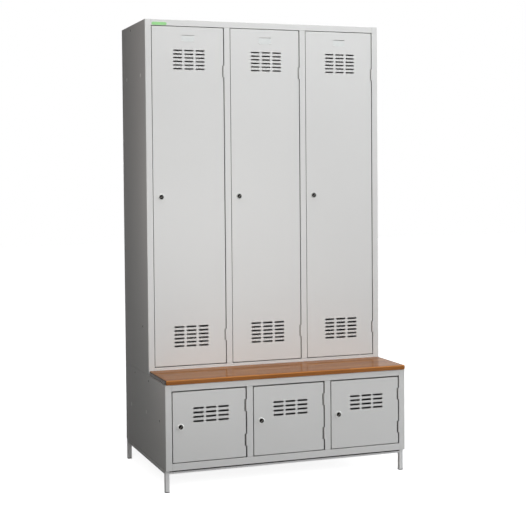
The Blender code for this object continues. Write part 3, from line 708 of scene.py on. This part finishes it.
# doors: stand is how far each edge lies from the middle line of the gap round the door,
# where the CAD has doorGap on every edge
door = {"depth": 0.018, "corner": 0.004, "bend": 0.0013, "slotColumns": 3, "slotCut": 0.008,
        "lockInset": 0.039, "lockHole": 0.0095, "lockCut": 0.004, "ease": 0.0002,
        "upper": [{"rows": 6, "length": 0.0452, "height": 0.007, "pitchX": 0.0555, "pitchZ": 0.0174,
                   "inset": 0.113, "shift": 0.004, "fromTop": True},
                  {"rows": 6, "length": 0.050, "height": 0.0088, "pitchX": 0.0605, "pitchZ": 0.0184,
                   "inset": 0.0945, "shift": 0.003, "fromTop": False}],
        "lower": [{"rows": 4, "length": 0.051, "height": 0.0088, "pitchX": 0.060, "pitchZ": 0.020,
                   "inset": 0.082, "shift": 0.006, "fromTop": True}],
        "slit": {"drop": 0.0042, "length": 0.063, "height": 0.0030},
        "stand": {"upper": {"left": 0.0008, "right": 0.0028, "bottom": 0.0016, "top": 0.0012},
                  "lower": {"left": 0.0024, "right": 0.0048, "bottom": 0.0012, "top": 0.0041}}}


# door pan: loops of a rounded rectangle, running from the inner skin out round
# the fold and back over the outer skin; both skins are closed by one flat face
def panMesh(name, left, right, bottom, top, front):
    t, bend, depth = panel["sheet"], door["bend"], door["depth"]
    turn = np.linspace(0, quarterTurn, 5)
    outer = [(bend - bend * math.sin(a), bend - bend * math.cos(a)) for a in turn] + [(0.0, depth)]
    small = bend - t
    inner = [(bend - small * math.sin(a), bend - small * math.cos(a)) for a in turn] + [(t, depth)]
    centre = [(left + right) / 2, (bottom + top) / 2]
    rings = []
    for inset, y in outer + inner[::-1]:
        outline = roundedRectangle(right - left - 2 * inset, top - bottom - 2 * inset,
                                   max(door["corner"] - inset, 0.0006))
        rings.append(placedIn("elevation", outline + centre, front + y))
    return cleaned(ringMesh(name, rings), 1e-7)


# the slots, the lock's hole and, in a tall door, the slit for the card
def slotCutter(facts, line):
    front, deep = facts["front"], door["slotCut"]
    cuts = []
    for vents in door[facts["name"]]:
        for row in range(vents["rows"]):
            z = vents["inset"] + row * vents["pitchZ"]
            z = facts["head"] - z if vents["fromTop"] else facts["sill"] + z
            for place in range(door["slotColumns"]):
                x = line - facts["opening"] / 2 + vents["shift"] + (place - 1) * vents["pitchX"]
                cuts.append(stadiumPrism("slot", (x, front, z), vents["length"], vents["height"], deep))
    lockX = line - facts["opening"] + door["lockInset"]
    lockZ = facts["sill"] + (facts["head"] - facts["sill"]) / 2
    cuts.append(boreMesh(door["lockHole"], door["lockCut"], (lockX, front, lockZ), (0, -1, 0)))
    if facts is upper:
        low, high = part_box("upper_left_card_holder")
        x = (low.x + high.x) / 2 - upper["gapLines"][0] + line
        slit = door["slit"]
        cuts.append(stadiumPrism("slit", (x, front, high.z - slit["drop"]), slit["length"],
                                 slit["height"], deep))
    return joined("slots", cuts)


def makeDoors():
    for facts in (upper, lower):
        stand, swingGap = door["stand"][facts["name"]], hingeSize["swingGap"][facts["name"]]
        for column, line in zip(columnNames, facts["gapLines"]):
            name = f"{facts['name']}_{column}_door"
            mesh = panMesh(name, line - facts["opening"] + stand["left"], line - stand["right"],
                           facts["sill"] + stand["bottom"], facts["head"] - stand["top"], facts["front"])
            cuts = [slotCutter(facts, line), hingeNotches(facts, line, -1, swingGap)]
            addPiece(name, worked(name, mesh, cuts, door["ease"], 1), name + "_body", cabinetPaint,
                     30, facts["front"])


stiffener = {"width": 0.060, "wing": 0.015, "depth": 0.012, "slope": 0.004}


# hat section behind each tall door's skin
def makeStiffeners():
    size = stiffener
    half, crown = size["width"] / 2, size["width"] / 2 - size["slope"]
    for column in columnNames:
        node = f"upper_{column}_stiffener"
        low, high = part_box(node)
        middle, back, ridge = (low.x + high.x) / 2, low.y, low.y + size["depth"]
        outline = [(-half - size["wing"], back), (-half, back), (-crown, ridge), (crown, ridge), (half, back),
                   (half + size["wing"], back)]
        outline = [(middle + x, y) for x, y in outline]
        mesh = bentSheet(node, outline, panel["bend"], panel["sheet"], low.z, high.z, "plan")
        addPiece(node, worked(node, mesh, (), door["ease"], 1), f"upper_{column}_door_body",
                 insidePaint)


makeDoors()
makeStiffeners()
print("doors done")


# hinge leaf: a strip rolled round the pin, its tail back along the fold
def rolledLeaf(x, y, low, high, side, offset):
    size, radius = hingeSize, hingeSize["knuckle"]
    join = math.acos(min(offset + size["toTail"], radius * 0.98) / radius)
    sweep = np.linspace(math.radians(112), 2 * math.pi + join, 24)
    roll = np.column_stack([np.cos(sweep), np.sin(sweep)]) * radius
    path = np.vstack([roll, [[offset, roll[-1, 1] + size["toTail"]], [offset, size["leaf"]]]])
    inner = leftOf(path, size["strip"])
    return stripMesh("leaf", path * [side, 1] + [x, y], inner * [side, 1] + [x, y], low, high, "plan")


def makeHinges():
    split, end, pin = hingeSize["split"] / 2, hingeSize["length"] / 2, hingeSize["pin"]
    dome = [(0, end), (pin * 0.7, end - 0.0003), (pin, end - 0.001), (pin, -end + 0.001),
            (pin * 0.7, -end + 0.0003), (0, -end)]
    pins = []
    for facts in (upper, lower):
        front, frameParts = facts["front"], []
        frameFold = panel["doorGap"] - panel["fit"]
        doorFold = door["stand"][facts["name"]]["right"] - panel["fit"]
        for column, line in zip(columnNames, facts["gapLines"]):
            doorParts = []
            for height in facts["hinges"]:
                frameParts.append(rolledLeaf(line, front, height - end, height - split, 1, frameFold))
                doorParts.append(rolledLeaf(line, front, height + split, height + end, -1, doorFold))
                pins.append(turnedMesh("pin", dome, 16, (line, front, height), (0, 0, 1)))
            name = f"{facts['name']}_{column}_door"
            addPiece(name + "_hinges", joined("leaves", doorParts), name + "_body", cabinetPaint,
                     30, front)
        addPiece(facts["name"] + "FrameHinges", joined("leaves", frameParts), "cabinet",
                 cabinetPaint, 30, front)
    addPiece("hingePins", joined("pins", pins), "cabinet", latchZinc, 30)


makeHinges()
print("hinges done")

# latches: the knobs rest at the tilts that the photo shows
latch = {"rosette": 0.015, "rosetteThick": 0.0018, "bore": 0.0054, "barrel": 0.009, "barrelLength": 0.015,
         "nut": 0.0125, "nutThick": 0.003, "shaft": 0.005, "shaftOver": 0.0025, "camFront": 0.019,
         "camThick": 0.0025, "camEase": 0.0004, "sides": 72,
         "knob": 0.0105, "knobBase": 0.004, "hub": 0.0006, "rim": 0.0012, "crown": 0.0010, "dish": 0.0008,
         "gripWidth": 0.0058, "gripHeight": 0.003, "gripStep": 0.0008, "gripFall": 0.12,
         "highlightWidth": 0.0044, "highlightEdge": 0.0008, "highlightReach": 0.85,
         "tilts": {"upper": [20, 45, 45], "lower": [45, 45, 45]}}


# knob face: height over a disc, a raised bar across it that falls off in a smooth
# step on both sides, a shallow dish on the rest, and a rounded rim
def knobMesh(centre, tilt):
    size, knob = latch, latch["knob"]
    base = panel["fit"] * 2 + size["rosetteThick"]
    rimStart = knob - size["rim"]
    radius = np.concatenate([np.linspace(size["hub"], rimStart, 15),
                             rimStart + size["rim"] * np.sin(np.linspace(0.3, quarterTurn, 5))])
    angle = np.linspace(0, 2 * math.pi, size["sides"], endpoint=False)
    r, a = np.meshgrid(radius, angle, indexing="ij")
    x, y = r * np.cos(a), r * np.sin(a)
    edge = np.clip((np.abs(y) - size["gripWidth"] / 2) / size["gripStep"], -1, 1)
    bar = 0.5 - 0.75 * edge + 0.25 * edge ** 3
    rim = np.clip((r - rimStart) / size["rim"], 0, 1)
    crown = (1 - np.sqrt(np.clip(1 - rim ** 2, 0, 1))) * size["crown"]
    dish = size["dish"] * (1 - (r / knob) ** 2) * (1 - bar)
    grip = size["gripHeight"] * bar * (1 - size["gripFall"] * (r / knob) ** 2)
    rings = [np.stack([x, y, base + size["knobBase"] - crown - dish + grip], axis=-1)]
    end = -size["camFront"] - size["camThick"] - size["shaftOver"]
    for ringRadius, level in [(knob, base + 0.0004), (knob - 0.0004, base), (size["shaft"], base),
                              (size["shaft"], end + 0.0005), (size["shaft"] - 0.0005, end)]:
        rings.append(np.stack([ringRadius * np.cos(angle), ringRadius * np.sin(angle),
                               np.full(size["sides"], level)], axis=-1)[None])
    mesh = ringMesh("knob", np.concatenate(rings))
    # painted highlight: a pale band along the grip bar, kept in the grip attribute
    highlightMask = np.clip((size["highlightWidth"] / 2 - np.abs(y)) / size["highlightEdge"], 0, 1)
    highlight = np.zeros(len(mesh.vertices), dtype=np.float32)
    highlight[:bar.size] = np.where(r < knob * size["highlightReach"], highlightMask, 0).ravel()
    mesh.attributes.new("grip", "FLOAT", "POINT").data.foreach_set("value", highlight)
    mesh.transform(Matrix.Translation(centre) @ Matrix.Rotation(quarterTurn, 4, "X")
                   @ Matrix.Rotation(tilt, 4, "Z"))
    return cleaned(mesh)


# latch body: rosette, barrel and six-sided nut, turned from two profiles
def bodyMesh(centre):
    bore, barrel, rosette, nut = latch["bore"], latch["barrel"], latch["rosette"], latch["nut"]
    fit, end, nutThick = panel["fit"], -latch["barrelLength"], latch["nutThick"]
    face, back = fit + latch["rosetteThick"], -panel["sheet"] - fit
    profile = [(bore, face - 0.0004), (bore + 0.0004, face), (rosette - 0.0022, face),
               (rosette - 0.0008, face - 0.0004), (rosette, face - 0.0013), (rosette, fit), (barrel, fit),
               (barrel, back), (barrel, end + 0.0005), (barrel - 0.0005, end), (bore, end),
               (bore, face - 0.0004)]
    hole = barrel + 0.0001
    ring = [(hole, back), (nut - 0.0008, back), (nut, back - 0.0006), (nut, back - nutThick + 0.0006),
            (nut - 0.0008, back - nutThick), (hole, back - nutThick), (hole, back)]
    return joined("latchBody", [turnedMesh("latchBody", profile, 48, centre, (0, -1, 0)),
                                turnedMesh("latchNut", ring, 6, centre, (0, -1, 0))])


def makeLatches():
    for facts in (upper, lower):
        middle = (facts["sill"] + facts["head"]) / 2
        for column, line, tilt in zip(columnNames, facts["gapLines"], latch["tilts"][facts["name"]]):
            key = f"{facts['name']}_{column}"
            centre = (line - facts["opening"] + door["lockInset"], facts["front"], middle)
            addPiece(key + "_latch_knob", knobMesh(centre, math.radians(tilt)), key + "_latch",
                     knobBlack, 50)
            addPiece(key + "_latch_body", bodyMesh(centre), key + "_door_body", latchZinc)
            cam = cleaned(nodes[key + "_latch_cam"].data.copy(), 1e-5)
            addPiece(key + "_latch_cam", worked("cam", cam, (), latch["camEase"]), key + "_latch",
                     latchZinc, 30)


makeLatches()
print("latches done")

board = {"round": 0.006, "cornerRound": 0.006, "steps": 7}


# board: a rectangle in plan, drawn in at its upper and lower edges along a
# quarter circle, so that each loop is the outline at one height
def makeBoard():
    low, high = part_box("bench_board")
    turn, r = np.linspace(0, quarterTurn, board["steps"]), board["round"]
    loops = [(r - r * math.sin(a), high.z - (r - r * math.cos(a))) for a in turn]
    loops += [(r - r * math.cos(a), low.z + (r - r * math.sin(a))) for a in turn]
    rings = []
    for inset, z in loops:
        outline = roundedRectangle(high.x - low.x - 2 * inset, high.y - low.y - 2 * inset,
                                   max(board["cornerRound"] - inset, 0.001))
        rings.append(placedIn("plan", outline + [0, (low.y + high.y) / 2], z))
    addPiece("bench_board", cleaned(ringMesh("benchBoard", rings)), "cabinet", boardWood, 40)


makeBoard()
print("board done")

# base frame and feet; a cap's stations are how much narrower it is, and the height
base = {"tube": 0.020, "corner": 0.0022, "endEase": 0.0005, "ease": 0.0006, "railHeight": 0.0210,
        "shoulder": 0.0942, "step": 0.006, "stripBack": 0.0012, "chamferLow": 0.0965, "chamfer": 0.0045,
        "cap": [(0.0014, 0.0), (0, 0.0008), (0, 0.0022), (0.0010, 0.0036), (0.0026, 0.0040)],
        "capPlug": 0.0162, "capPlugEnd": 0.0150, "capPlugStart": 0.0041, "capPlugEase": 0.001}


# leg of square tube with rounded corners, drawn in a little at both ends
def legMesh(x, y, low, high):
    ease, size = base["endEase"], base["tube"]
    outline = roundedRectangle(size, size, base["corner"], 5)
    length = abs(high - low)
    stations = [(ease, 0.0), (0.0, ease), (0.0, length - ease), (ease, length)]
    return cleaned(ringMesh("leg", [placedIn("plan", outline * (1 - 2 * shrink / size), along) + [x, y, low]
                                    for shrink, along in stations]))


# a section given as distances in from the rail's outer face and heights
def fromOuter(outer, inward, section):
    outline = [(outer + inward * a, z) for a, z in section]
    return outline if inward > 0 else outline[::-1]


# legs, front and back rails with a step for black strips that are painted shade, standing for the shadow gap
# under the cabinet, and side rails with a chamfer
def makeBase():
    low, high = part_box("base_frame")
    tube, half, top = base["tube"], base["tube"] / 2, high.z
    parts = [legMesh(x, y, low.z, high.z) for x in (low.x + half, high.x - half)
             for y in (low.y + half, high.y - half)]
    step, back, shoulder = base["step"], base["stripBack"], base["shoulder"]
    under, slope = top - base["railHeight"], base["chamfer"]
    strip = [(back, shoulder), (step, shoulder), (step, top), (back, top)]
    long = [(0, under), (tube, under), (tube, top), (step, top), (step, shoulder), (0, shoulder)]
    short = [(0, under), (tube, under), (tube, top), (slope, top), (slope, base["chamferLow"] + slope),
             (0, base["chamferLow"])]
    strips = []
    for outer, inward in ((low.y, 1), (high.y, -1)):
        ends = (low.x + tube, high.x - tube, "section")
        parts.append(prismMesh("rail", fromOuter(outer, inward, long), *ends))
        strips.append(prismMesh("strip", fromOuter(outer, inward, strip), *ends))
    for outer, inward in ((low.x, 1), (high.x, -1)):
        ends = (low.y + tube, high.y - tube, "elevation")
        parts.append(prismMesh("rail", fromOuter(outer, inward, short), *ends))
    whole = worked("baseFrame", joined("baseFrame", parts), (), base["ease"])
    addPiece("base_frame", whole, "cabinet", basePaint)
    # painted shade: black strips in the rails' step stand for the shadow gap under the cabinet
    addPiece("beddingStrips", joined("beddingStrips", strips), "cabinet", knobBlack)


def makeFeet():
    for place in ("front_left", "back_left", "front_right", "back_right"):
        low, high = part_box("foot_cap_" + place)
        width = high.x - low.x
        middle = ((low.x + high.x) / 2, (low.y + high.y) / 2)
        stations = [(width - narrower, z) for narrower, z in base["cap"]]
        stations += [(base["capPlug"], base["capPlugStart"]), (base["capPlug"], high.z - base["capPlugEase"]),
                     (base["capPlugEnd"], high.z)]
        rings = [placedIn("plan", roundedRectangle(size, size, base["corner"], 5) + middle, z)
                 for size, z in stations]
        addPiece("foot_cap_" + place, cleaned(ringMesh("footCap", rings)), "cabinet",
                 footBlack, 40)


makeBase()
makeFeet()
print("base done")

# card holders and blank cards
card = {"sheet": 0.0003, "stand": 0.00005, "slot": 0.0005, "corner": 0.002, "slitPlay": (0.001, 0.0006),
        "slitCut": 0.01, "lugOffset": 0.0270, "lugWidth": 0.009, "lugHeight": 0.005, "lugBend": 0.0004,
        "lugSheet": 0.7, "cardWidth": 0.064, "cardHeight": 0.0268, "cardThick": 0.0002, "cardRise": 0.0012,
        "cardCorner": 0.0008, "ease": 0.00012}


# holder: a rounded plate with the slit the card goes in by, and two sloped lugs
# that carry the card; the door's skin has the same slit
def makeCardHolders():
    slit = door["slit"]
    for column in columnNames:
        node, body = f"upper_{column}_card_holder", f"upper_{column}_door_body"
        low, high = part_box(node)
        middle, back = (low.x + high.x) / 2, upper["front"] - card["stand"]
        face = back - card["sheet"]
        lip = face - card["slot"]
        outline = roundedRectangle(high.x - low.x, high.z - low.z, card["corner"], 5)
        outline = outline + [middle, (low.z + high.z) / 2]
        playLong, playHigh = card["slitPlay"]
        cutter = stadiumPrism("slit", (middle, face, high.z - slit["drop"]), slit["length"] - playLong,
                              slit["height"] - playHigh, card["slitCut"])
        parts = [worked(node, prismMesh(node, outline, face, back, "elevation"), [cutter], 0)]
        for side in (-1, 1):
            x, half = middle + side * card["lugOffset"], card["lugWidth"] / 2
            hook = [(lip + 0.0003, low.z + card["lugHeight"]), (lip - 0.0008, low.z + 0.0014),
                    (lip - 0.0002, low.z + 0.0007), (face - 0.0001, low.z + 0.0005)]
            parts.append(bentSheet("lug", hook, card["lugBend"], card["sheet"] * card["lugSheet"], x - half,
                                   x + half, "section", 4))
        addPiece(node, worked(node, joined(node, parts), (), card["ease"]), body, cabinetPaint)
        outline = roundedRectangle(card["cardWidth"], card["cardHeight"], card["cardCorner"], 4)
        outline = outline + [middle, low.z + card["cardRise"] + card["cardHeight"] / 2]
        near = face - card["cardThick"]
        addPiece(f"upper_{column}_blank_card", prismMesh("card", outline, near, near + card["cardThick"],
                                                         "elevation"), body, cardPaper)


plate = {"left": 0.0327, "width": 0.0735, "height": 0.0145, "drop": 0.0125, "thick": 0.0005, "ease": 0.00015}


def makeBlankPlate():
    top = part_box("upper_top")[1].z
    centre = (plate["left"] + plate["width"] / 2 - halfWidth, upper["front"] - plate["thick"] / 2,
              top - plate["drop"] - plate["height"] / 2)
    mesh = stadiumPrism("blankPlate", centre, plate["width"], plate["height"], plate["thick"], 13)
    addPiece("blankPlate", worked("blankPlate", mesh, (), plate["ease"]), "cabinet", plateGreen)


makeCardHolders()
makeBlankPlate()
print("small parts done")

# nodes that are kept as the CAD gives them, with their materials
for nodeName, node in nodes.items():
    if node.hide_render:
        continue
    material = latchZinc if nodeName.startswith("clothes_rail") else insidePaint
    if not node.material_slots:
        node.data.materials.append(material)
    for place in node.material_slots:
        place.material = material
print("kept nodes dressed")

studio = {"floorSize": 40.0, "floorColour": (0.9, 0.9, 0.9, 1), "floorBounce": (0.22, 0.21, 0.20, 1),
          "floorRough": 0.9, "ambient": 0.02, "floorLift": 0.88, "liftStart": 0.9, "liftEnd": 1.8,
          "spotSoftness": 0.4}


# one for the rays that show the background: from the camera, through glass, in gloss
def seenRays(tree):
    path = addNode(tree, "ShaderNodeLightPath").outputs
    direct = mathNode(tree, "MAXIMUM", path["Is Camera Ray"], path["Is Transmission Ray"])
    return mathNode(tree, "MAXIMUM", direct, path["Is Glossy Ray"])


# floor: matt, pale and lifted with a glow where it is seen, and dull to every other
# ray, so that the object's shadow stays and little light comes back up
def makeFloor():
    half = studio["floorSize"] / 2
    mesh = toMesh("floor", [(-half, -half, 0), (half, -half, 0), (half, half, 0), (-half, half, 0)],
                  [[0, 1, 2, 3]])
    floor = newObject("floor", mesh)
    material, tree, shader = newMaterial("floorPaper")
    seen = seenRays(tree)
    away = addNode(tree, "ShaderNodeVectorMath", {"operation": "LENGTH"},
                   {0: addNode(tree, "ShaderNodeTexCoord").outputs["Object"]}).outputs["Value"]
    glow = mapped(tree, away, studio["liftStart"], studio["liftEnd"], studio["floorLift"], 1.0,
                  curve="SMOOTHSTEP")
    shader["Roughness"].default_value = studio["floorRough"]
    shader["Specular IOR Level"].default_value = 0.0
    shader["Emission Color"].default_value = (1, 1, 1, 1)
    linkAll(tree, shader, {"Base Color": mixColours(tree, seen, studio["floorBounce"], studio["floorColour"]),
                           "Emission Strength": mathNode(tree, "MULTIPLY", seen, glow)})
    mesh.materials.append(material)


def makeWorld():
    world = bpy.data.worlds.new("studioWorld")
    bpy.context.scene.world = world
    world.use_nodes = True
    tree = world.node_tree
    background = tree.nodes["Background"].inputs
    background["Color"].default_value = (1, 1, 1, 1)
    tree.links.new(mathNode(tree, "MAXIMUM", seenRays(tree), studio["ambient"]), background["Strength"])


# area lamps have a size, and spots an angle; four spots reach the left side and the
# left doors, and one the back
lamps = {
    "rightLamp": {"place": (5.5, -3.4, 2.0), "target": (0, 0, 1.1), "size": 3.0, "power": 240,
                  "colour": (0.953, 0.98, 1.0)},
    "topLamp": {"place": (0, -1.2, 4.2), "target": (0, 0, 1.0), "size": 2.2, "power": 65,
                "colour": (0.99, 1.0, 1.0)},
    "lowFrontLamp": {"place": (0.8, -4.2, 0.7), "target": (0, 0, 0.6), "size": 1.6, "power": 9,
                     "colour": (0.94, 0.975, 1.0)},
    "leftLamp": {"place": (-2.2, -4.2, 2.4), "target": (-0.4, 0, 1.3), "size": 2.0, "power": 63,
                 "colour": (1.0, 0.99, 0.98)},
    "sideSpot": {"place": (-3.2, -1.4, 1.4), "target": (-0.6, -0.97, 1.2), "angle": 40, "power": 134,
                 "colour": (1.0, 0.915, 0.855)},
    "upperSideSpot": {"place": (-3.0, -0.9, 3.4), "target": (-0.6, -0.62, 2.1), "angle": 40, "power": 76,
                      "colour": (1.0, 0.905, 0.86)},
    "lowSideSpot": {"place": (-3.0, -1.6, 0.5), "target": (-0.6, -1.08, 0.45), "angle": 36, "power": 20,
                    "colour": (1.0, 0.93, 0.88)},
    "doorSpot": {"place": (-1.6, -4.0, 1.2), "target": (-0.44, -0.08, 1.0), "angle": 24, "power": 98,
                 "colour": (1.0, 1.0, 1.0)},
    "backSpot": {"place": (0, 4.5, 1.6), "target": (0, 0.4, 1.25), "angle": 38, "power": 150,
                 "colour": (1.0, 0.99, 0.98)}}


def addLamp(name, lamp):
    data = bpy.data.lights.new(name, "AREA" if "size" in lamp else "SPOT")
    if "size" in lamp:
        data.shape = "SQUARE"
        data.size = lamp["size"]
    else:
        data.spot_size = math.radians(lamp["angle"])
        data.spot_blend = 1.0
        data.shadow_soft_size = studio["spotSoftness"]
    data.energy = lamp["power"]
    data.color = lamp["colour"]
    light = newObject(name, data)
    light.location = lamp["place"]
    aim = Vector(lamp["target"]) - Vector(lamp["place"])
    light.rotation_euler = aim.to_track_quat("-Z", "Y").to_euler()


# the camera's place and angles were solved from the photo's straight edges
camera = {"place": (-2.0146, -5.6102, 1.4286), "yaw": 0.3467, "pitch": -0.035, "roll": -0.0082,
          "focalPixels": 1203.41, "imageWidth": 526, "imageHeight": 525, "centreY": 220, "sensor": 36,
          "farEnd": 50}


def makeCamera():
    data = bpy.data.cameras.new("camera")
    data.sensor_fit = "HORIZONTAL"
    data.sensor_width = camera["sensor"]
    data.lens = camera["sensor"] * camera["focalPixels"] / camera["imageWidth"]
    data.shift_y = (camera["centreY"] - camera["imageHeight"] / 2) / camera["imageWidth"]
    data.clip_end = camera["farEnd"]
    eye = newObject("camera", data)
    yaw, pitch, roll = camera["yaw"], camera["pitch"], camera["roll"]
    forward = Vector((math.sin(yaw) * math.cos(pitch), math.cos(yaw) * math.cos(pitch), math.sin(pitch)))
    right = Vector((math.cos(yaw), -math.sin(yaw), 0))
    up = right.cross(forward)
    cameraX = math.cos(roll) * right + math.sin(roll) * up
    cameraY = -math.sin(roll) * right + math.cos(roll) * up
    turn = Matrix((cameraX, cameraY, -forward)).transposed().to_4x4()
    eye.matrix_world = Matrix.Translation(camera["place"]) @ turn
    bpy.context.scene.camera = eye


makeFloor()
makeWorld()
for lampName, lamp in lamps.items():
    addLamp(lampName, lamp)
makeCamera()
bpy.context.scene.view_settings.view_transform = "Standard"

print("scene done")
